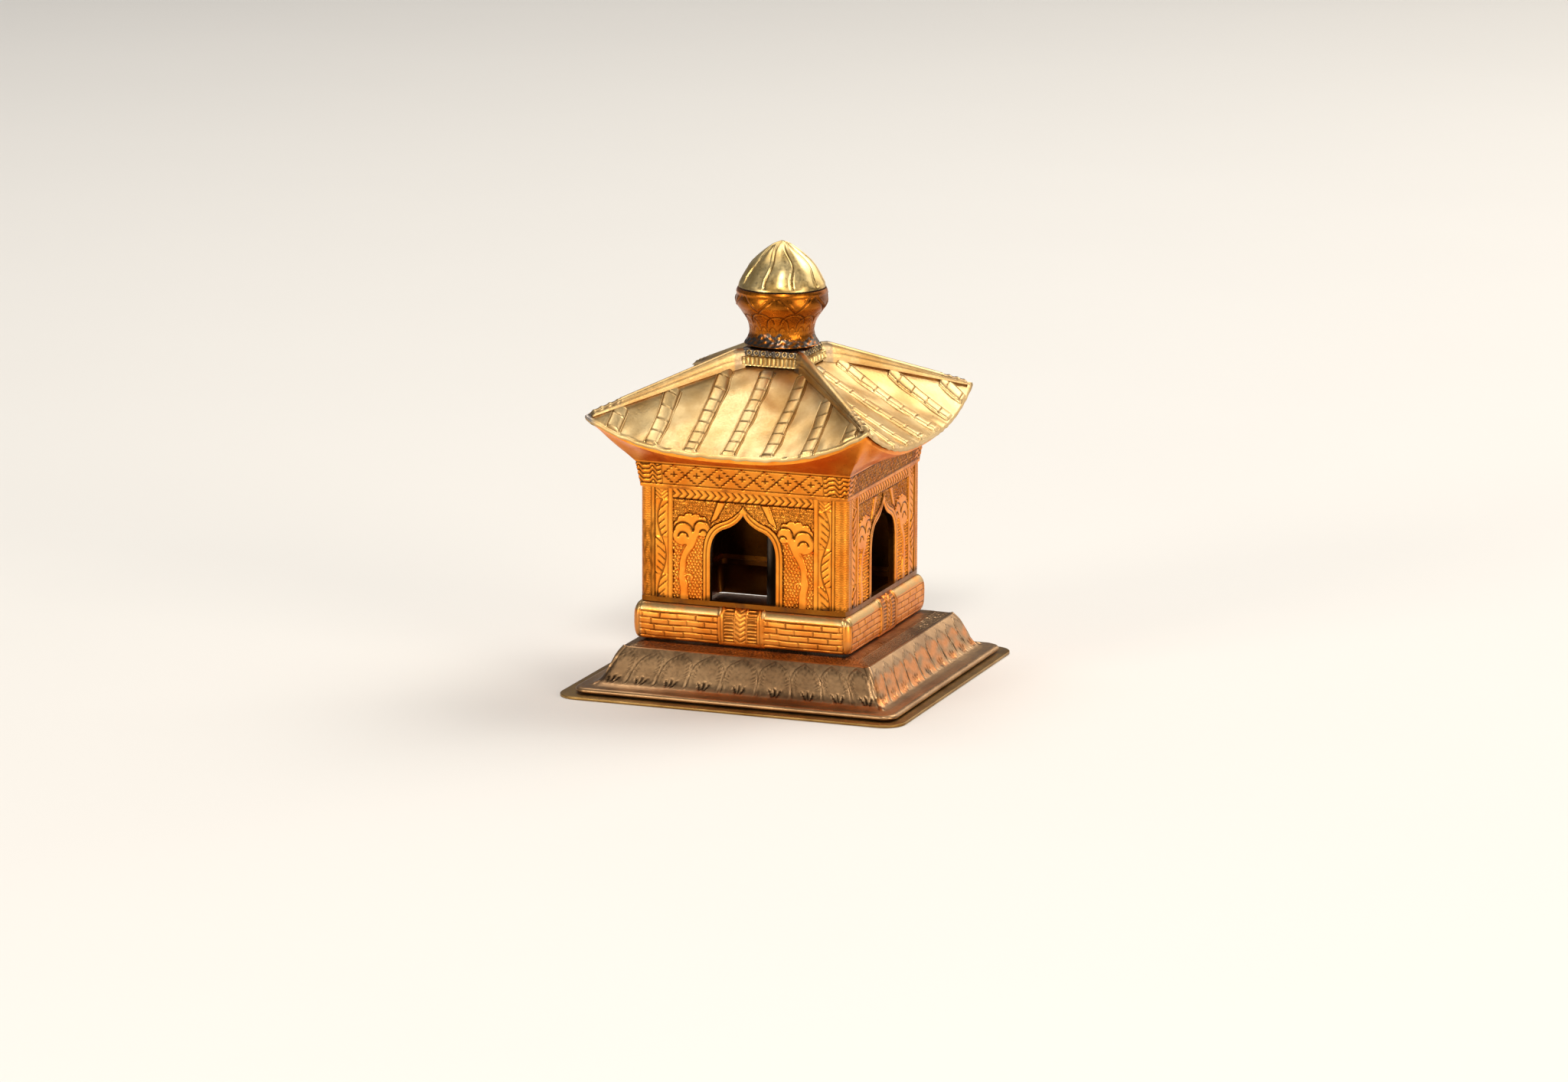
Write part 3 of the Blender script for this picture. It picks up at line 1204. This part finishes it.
def roof_skin():
    """The four slopes as one sheet, a little uneven, turned under at the eaves."""
    columns, rows = 104, 56
    piece, a, b = flat_grid("tiled_roof", 4 * columns, rows)
    side, along = round_sides(a)
    way = (b + 1) / 2 * rows
    turns = [0, 7, 8, 9, 10, rows]
    down = np.interp(way, turns, [0.07, 0.975, 0.996, 1, 0.996, 0])
    under = np.interp(way, turns, [1, 1, 0.9, 0.5, 0.06, 0])
    across, out, height = slope_point(side, along, down)
    from_hip = (out - np.abs(across)) / math.sqrt(2)
    dent = 0.12 * wander(across, out, 6.5) * rise(0.95 - down, 0.1) * rise(from_hip - 1.5, 1) * (way > 10)
    ragged = 0.1 * wander(across * 1.3, across * 0 + side * 5, 3.2) * rise(down - 0.9, 0.1)
    put_on_side(piece, "walls", side, across, out, height - SHEET * under + dent + ragged)

    solder = 0.8 * np.clip(1.2 - np.hypot(across * 0.8, out) / 8.0, 0, 1)
    solder += 0.8 * (side == 1) * ridge(np.hypot((across + 3.4) / 1.6, (out - 8.3) / 1.6), 1.3)
    tips = ridge(np.hypot(out - EAVE_REACH, np.abs(across) - EAVE_REACH), 3.2)
    solder += np.where((side == 0) & (across < 0), 0.85, 0.4) * tips
    top = way >= 9
    sunk = np.where(top, 0.45 * ridge(from_hip - 1.1, 0.3), 0.35)
    put_marks(piece, {"sunk": sunk, "solder": np.where(top, solder, 0)})
    return piece


def tile_rib(side, centre):
    """One tile rib down a slope, a flat round with a fine line along each side and nicks across it."""
    nick = bpy.context.scene.casket_sizes.nick_pitch / MM
    section = both_flanks(TILE_SECTION)
    bent = (side == 0 and centre > 16) or (side == 1 and centre < -16)
    start = max(abs(centre), ROOF_HALF) + 0.5
    end = EAVE_HALF - 0.15 - (1.15 if bent else 0)
    rows = max(8, int((end - start) / 0.13))
    piece, a, b = flat_grid("tile_rib", len(section) - 1, rows)
    place, rising = section[np.rint((a + 1) / 2 * (len(section) - 1)).astype(int)].T
    out = start + (end - start) * (b + 1) / 2
    off = place * (1 + 0.05 * wander(out, out * 0 + centre, 5))
    across = centre + off + 0.08 * wander(out, out * 0 + centre, 9)
    first = scatter(np.array(centre + side * 9.0)) * nick
    cut = ridge(beat(out + first + 0.12 * off**2, nick), 0.14) * (np.abs(off) < 1.0)
    ends = rise(out - start - 0.25, 0.5) * rise(end - out - 0.12, 0.3)
    lift = rising * ends - 0.2 * cut * (rising > 0.2) - 0.3 * (1 - ends)
    height = slope_height(np.full_like(out, side), across, out) + lift
    put_on_side(piece, "walls", side, across, out, height)
    seam = ridge(np.abs(off) - 1.05, 0.09) + 0.5 * ridge(np.abs(off) - 1.38, 0.1)
    put_marks(piece, {"sunk": 0.9 * cut + 0.7 * seam, "solder": 0.5 * rise(7.5 - out, 2)})
    return piece


def hip_ridge(side):
    """The round ridge over one hip, with a line along each flank and rings near its tip."""
    section = both_flanks(HIP_SECTION)
    reach_to, corner_height = (float(v) for v in eave_corner(np.array(side), np.array(1.0)))
    start, end = HIP_INNER[0] - HIP_RUN_IN, HIP_OUTER[0] - (EAVE_REACH - reach_to)
    piece, a, b = flat_grid("hip_ridge", across=len(section) - 1, along=130)
    place, rising = section[np.rint((a + 1) / 2 * (len(section) - 1)).astype(int)].T
    share = (b + 1) / 2
    distance = start + (end - start) * share
    along = np.clip((distance - HIP_INNER[0]) / (end - HIP_INNER[0]), 0, 1)
    crest = HIP_INNER[1] + (HIP_OUTER[1] + corner_height - EAVE_CORNER - HIP_INNER[1]) * along
    base = slope_height(np.full_like(distance, side), distance - 0.01, distance) - SHEET / 2
    near_tip = rise(distance - (end - 3.6), 0.3)
    ring = ridge(beat(distance - end + 0.35, 1.0), 0.3) * near_tip
    between_rings = (1 - ring) * near_tip * (rising > 0.5)
    tip = np.sqrt(np.clip((end - distance) / 0.5, 0.12, 1))
    height = base + (crest - base) * rising * tip - 0.16 * between_rings
    off = place * (1 - 0.12 * share) * math.sqrt(0.5)
    put_on_side(piece, "walls", side, distance + off, distance - off, height)
    sunk = 0.75 * ridge(np.abs(place) - 0.82, 0.1) + 0.6 * between_rings + 0.35 * (rising < 0.4)
    put_marks(piece, {"sunk": sunk, "solder": 0.45 * rise(6.3 - distance, 0.8) + 0.35 * near_tip})
    return piece


class CASKET_OT_roof(bpy.types.Operator):
    """The four tiled slopes with their tile ribs and hip ridges"""

    bl_idname = "casket.roof"
    bl_label = "Roof"

    def execute(self, context):
        pieces = [roof_skin()]
        for side in range(4):
            pieces.append(hip_ridge(side))
            for k in range(RIBS_PER_SIDE):
                pieces.append(tile_rib(side, (k - (RIBS_PER_SIDE - 1) / 2) * RIB_PITCH))
        roof = join_pieces(pieces, "tiled_roof")
        close_up(roof)
        finish_piece(roof, "roof", pale_gold())
        return {"FINISHED"}


# Collar and bud

COLLAR_OVERHANG = 0.35  # how much wider than its solid the collar is on each side


def collar_relief(side, walk, height):
    """Upright flutes round the lower step and a row of beads round the upper one."""
    up = height - heights("roof_collar")[0]
    flutes = ridge(beat(walk, 0.72), 0.33)
    lower = rise(up - 0.15, 0.1) * rise(1.3 - up, 0.1)
    beads = ridge(np.hypot(beat(walk, 1.2), up - 1.95) - 0.38, 0.2)
    lift = (0.26 * flutes - 0.12) * lower + 0.16 * beads
    sunk = 0.8 * (1 - rise(flutes - 0.35, 0.3)) * lower + 0.6 * rise(up - 1.4, 0.1) * (1 - beads)
    solder = 0.7 * rise(up - 1.45, 0.3) * (1 - 0.5 * beads) + 0.2 * rise(up - 2.5, 0.3)
    return lift, {"sunk": sunk, "solder": solder}


class CASKET_OT_collar(bpy.types.Operator):
    """The square fluted collar that the bud stands on"""

    bl_idname = "casket.collar"
    bl_label = "Collar"

    def execute(self, context):
        low, high = heights("roof_collar")
        half = reach("roof_collar") + COLLAR_OVERHANG
        section = [(0.3, low, 0.2, 1), (half, low, 0.9, 11), (half - 0.15, low + 1.3, 0.9, 2)]
        section += [(half - 0.7, low + 1.45, 0.9, 10), (half - 0.85, low + 2.4, 0.9, 2)]
        section += [(half - 1.3, high, 0.9, 1), (0.3, high, 0.2, 1)]
        rows = profile_rows([(x, z, corner, z, faces) for x, z, corner, faces in section])
        piece = square_sheet("fluted_collar", "roof_collar", columns=88, rows=rows, relief=collar_relief)
        finish_piece(piece, "roof_collar", collar_gold())
        return {"FINISHED"}


CAP_PETALS = 9
CUP_PETALS = 7
CUP_ROUND = 7.0  # radius at which the cup's ornament is measured round it
# The outsides of the cup and the cap, as (radius, height)
CUP_PROFILE = (
    (6.05, 54.5), (5.5, 55.4), (5.2, 56.6), (5.55, 58.2), (6.5, 59.7), (7.25, 60.8), (7.4, 61.7),
    (7.05, 63.3),
)
CAP_PROFILE = ((7.0, 63.7), (6.85, 64.2), (6.25, 65.4), (5.15, 67.2), (3.55, 68.8), (1.7, 70.2), (0.35, 70.9))


def cup_relief(angle, radius, up):
    """Pointed petals under the seam, round overlapping ones below, and a dark soldered foot."""
    outside = (up >= 0) & (up <= 9.9)
    x = angle * CUP_ROUND
    pitch = 2 * math.pi * CUP_ROUND / CUP_PETALS
    off, off_next = beat(x, pitch), beat(x + pitch / 2, pitch)
    vee = ridge(up - 6.3 - np.abs(off) * 0.98, 0.24) * rise(9.1 - up, 0.2)
    beside = ridge(up - 6.95 - np.abs(off) * 0.98, 0.13) * rise(9.1 - up, 0.2)
    scale = np.hypot(off, (up - 3.6) * 1.05)
    upper = (ridge(scale - 2.55, 0.2) + 0.6 * ridge(scale - 2.0, 0.13)) * rise(up - 3.9, 0.3)
    under = np.hypot(off_next, (up - 3.3) * 1.05)
    lower = ridge(under - 2.3, 0.18) * rise(up - 3.2, 0.3) * rise(2.6 - np.abs(off_next), 0.3)
    small = ridge(np.hypot(beat(x, pitch / 3), up - 2.6) - 0.75, 0.16) * rise(up - 2.6, 0.2)
    lines = np.clip(vee + upper + lower + 0.7 * small, 0, 1) * outside
    dots = matting(x, up, 0.6) * rise(up - 1.4, 0.2) * rise(3.0 - up, 0.5) * outside
    crust = rise(1.9 + 0.5 * np.sin(3 * angle) + 0.4 * wander(x, up, 2.5) - up, 0.8) * outside
    lift = (0.18 * rise(up - 9.0, 0.12) + 0.14 * beside) * outside - 0.15 * lines - 0.06 * dots
    lift += 0.05 * crust * wander(x, up, 1.4)
    shade = rise(up - 7.2 + 0.4 * wander(x, up, 4), 0.6) * rise(9.0 - up, 0.1) * outside * (1 - beside)
    sunk = np.maximum(0.9 * lines + 0.5 * dots, 0.42 * shade)
    return lift, {"sunk": sunk, "solder": crust * (0.62 + 0.3 * wander(x, up * 2, 2))}


def cap_relief(angle, radius, up):
    """Petals that run to the point, each with a waved groove beside a fine ridge."""
    turn = angle + 0.06 * np.sin(up * 0.9 + 0.4) + 0.2
    x = beat(turn, 2 * math.pi / CAP_PETALS) * radius
    outside = up > 0.35
    deep = np.clip(radius / 2.5, 0, 1) * rise(up - 0.5, 0.6) * outside
    groove = ridge(x, 0.2)
    lift = (0.12 * ridge(x + 0.36, 0.24) - 0.16 * groove - 0.06 * np.cos(turn * CAP_PETALS)) * deep
    sunk = 0.85 * groove * deep + 0.3 * rise(0.5 - up, 0.3)
    return lift, {"sunk": sunk, "solder": np.zeros_like(lift)}


class CASKET_OT_bud(bpy.types.Operator):
    """The lotus bud on top, a cup and a pointed cap"""

    bl_idname = "casket.bud"
    bl_label = "Lotus bud"

    def execute(self, context):
        rows = even_rows(CUP_PROFILE, 0.16)
        foot, rim, long = rows[0][1], rows[-1][1], rows[-1][2]
        profile = [(0.0, foot, -1), *rows, (6.5, rim + 0.05, long + 0.6), (0.0, rim + 0.05, long + 7)]
        cup = round_sheet("bud_cup_sheet", "bud_cup", columns=300, profile=profile, relief=cup_relief)
        finish_piece(cup, "bud_cup", cup_gold())
        rows = even_rows(CAP_PROFILE, 0.16)
        foot, long = rows[0][1], rows[-1][2]
        profile = [(0.0, foot, -7), (6.5, foot, -0.5), *rows, (0.0, heights("bud_cap")[1], long + 0.3)]
        cap = round_sheet("bud_cap_sheet", "bud_cap", columns=288, profile=profile, relief=cap_relief)
        finish_piece(cap, "bud_cap", bud_gold())
        return {"FINISHED"}


# Stage

CAMERA_AT = (343.47, -933.54, 237.85)  # millimetres
CAMERA_YAW = 20.243  # degrees to the left of +Y
CAMERA_DOWN = 12.244
CAMERA_ROLL = 0.236
CAMERA_LENS = 145.19
SENSOR_WIDE = 36
FLOOR_WIDE = 12  # metres
MOTTLES_PER_METRE = 9.0
LIGHTS_AIM = (0, 0, 0.035)
# The softboxes, as name, place and size in metres, watts and colour
SOFTBOXES = (
    ("key_softbox", (0.55, 0.75, 0.95), 0.8, 10, (1.0, 0.96, 0.9)),
    ("top_softbox", (-0.35, 0.3, 1.1), 0.7, 4.4, (1.0, 0.97, 0.93)),
    ("front_softbox", (0.3, -0.8, 0.8), 0.22, 5.5, (1.0, 0.96, 0.9)),
    ("low_softbox", (-0.6, -1.1, 0.3), 0.4, 6, (1.0, 0.93, 0.82)),
    ("side_softbox", (1.05, -0.45, 0.25), 0.5, 5.5, (1.0, 0.9, 0.76)),
    ("back_softbox", (0.5, 1.15, 0.32), 0.6, 1.6, (1.0, 0.9, 0.74)),
)


def camera_matrix():
    """The camera's place, and its turn from yaw, pitch and roll."""
    yaw, pitch, roll = (math.radians(d) for d in (CAMERA_YAW, CAMERA_DOWN, CAMERA_ROLL))
    forward = Vector((-math.sin(yaw) * math.cos(pitch), math.cos(yaw) * math.cos(pitch), -math.sin(pitch)))
    right = forward.cross(Vector((0, 0, 1))).normalized()
    up = right.cross(forward)
    right, up = right * math.cos(roll) + up * math.sin(roll), up * math.cos(roll) - right * math.sin(roll)
    turned = Matrix((right, up, -forward)).transposed().to_4x4()
    return Matrix.Translation(Vector(CAMERA_AT) * MM) @ turned


def floor_paper():
    """Matt pale studio paper with a very faint mottle."""
    material, tree = empty_material("Pale studio paper")
    colour = bpy.context.scene.casket_colours.floor
    coords = add_node(tree, "ShaderNodeTexCoord", {})
    faint = {"Scale": MOTTLES_PER_METRE, "Detail": 3.0}
    mottle = add_node(tree, "ShaderNodeTexNoise", faint, [("Vector", coords, "Object")])
    two_tones = {"data_type": "RGBA", FIRST: rgba(colour), SECOND: rgba(colour, 0.97)}
    tone = add_node(tree, "ShaderNodeMix", two_tones, [(SHARE, mottle, "Fac")])
    shader = add_node(tree, "ShaderNodeBsdfPrincipled", {"Roughness": 0.9}, [("Base Color", tone, MIXED)])
    add_node(tree, "ShaderNodeOutputMaterial", {}, [("Surface", shader, 0)])
    return material


def soft_light(name, place, size, power, colour):
    """A square softbox turned to the casket."""
    deselect()
    bpy.ops.object.light_add(type="AREA", location=place)
    light = bpy.context.object
    light.name = name
    light.data.size = size
    light.data.energy = power
    light.data.color = colour
    aim = Vector(LIGHTS_AIM) - Vector(place)
    light.rotation_euler = aim.to_track_quat("-Z", "Y").to_euler()


class CASKET_OT_studio(bpy.types.Operator):
    """The pale floor, the soft lights and the camera"""

    bl_idname = "casket.studio"
    bl_label = "Studio"

    def execute(self, context):
        deselect()
        bpy.ops.mesh.primitive_plane_add(size=FLOOR_WIDE, location=(0, 0, 0))
        ground = context.object
        ground.name = "studio_floor"
        ground.data.materials.append(floor_paper())
        for softbox in SOFTBOXES:
            soft_light(*softbox)
        world = bpy.data.worlds.new("Studio air")
        context.scene.world = world
        world.use_nodes = True
        air = world.node_tree.nodes["Background"]
        air.inputs["Color"].default_value = (0.9, 0.92, 0.96, 1)
        air.inputs["Strength"].default_value = 0.2
        context.scene.view_settings.view_transform = "Standard"
        bpy.ops.object.camera_add()
        camera = context.object
        camera.name = "casket_camera"
        camera.matrix_world = camera_matrix()
        camera.data.sensor_fit = "HORIZONTAL"
        camera.data.sensor_width = SENSOR_WIDE
        camera.data.lens = CAMERA_LENS
        camera.data.clip_start = 0.05
        camera.data.clip_end = 60
        context.scene.camera = camera
        return {"FINISHED"}


class CASKET_PT_panel(bpy.types.Panel):
    """Lists the casket's pieces and their sizes"""

    bl_label = "Casket"
    bl_idname = "CASKET_PT_panel"
    bl_space_type = "VIEW_3D"
    bl_region_type = "UI"
    bl_category = "Casket"

    def draw(self, context):
        layout = self.layout
        for operator in OPERATORS:
            layout.operator(operator.bl_idname)
        for group in (context.scene.casket_sizes, context.scene.casket_colours):
            box = layout.box()
            for key in group.bl_rna.properties.keys():
                if key not in ("rna_type", "name"):
                    box.prop(group, key)


OPERATORS = (
    CASKET_OT_base_plate,
    CASKET_OT_plinth,
    CASKET_OT_silver_post,
    CASKET_OT_foot_moulding,
    CASKET_OT_walls,
    CASKET_OT_cornice,
    CASKET_OT_roof,
    CASKET_OT_collar,
    CASKET_OT_bud,
    CASKET_OT_studio,
)
CLASSES = (CasketSizes, CasketColours, *OPERATORS, CASKET_PT_panel)


def register():
    """Registers the casket's classes, and keeps its sizes and colours with the scene."""
    for cls in CLASSES:
        bpy.utils.register_class(cls)
    bpy.types.Scene.casket_sizes = bpy.props.PointerProperty(type=CasketSizes)
    bpy.types.Scene.casket_colours = bpy.props.PointerProperty(type=CasketColours)


def unregister():
    """Takes away what register added."""
    del bpy.types.Scene.casket_colours
    del bpy.types.Scene.casket_sizes
    for cls in reversed(CLASSES):
        bpy.utils.unregister_class(cls)


def main():
    """Builds the casket and its studio."""
    register()
    bpy.ops.casket.base_plate()
    bpy.ops.casket.plinth()
    bpy.ops.casket.silver_post()
    bpy.ops.casket.foot_moulding()
    bpy.ops.casket.walls()
    bpy.ops.casket.cornice()
    bpy.ops.casket.roof()
    bpy.ops.casket.collar()
    bpy.ops.casket.bud()
    bpy.ops.casket.studio()


if __name__ == "__main__":
    main()
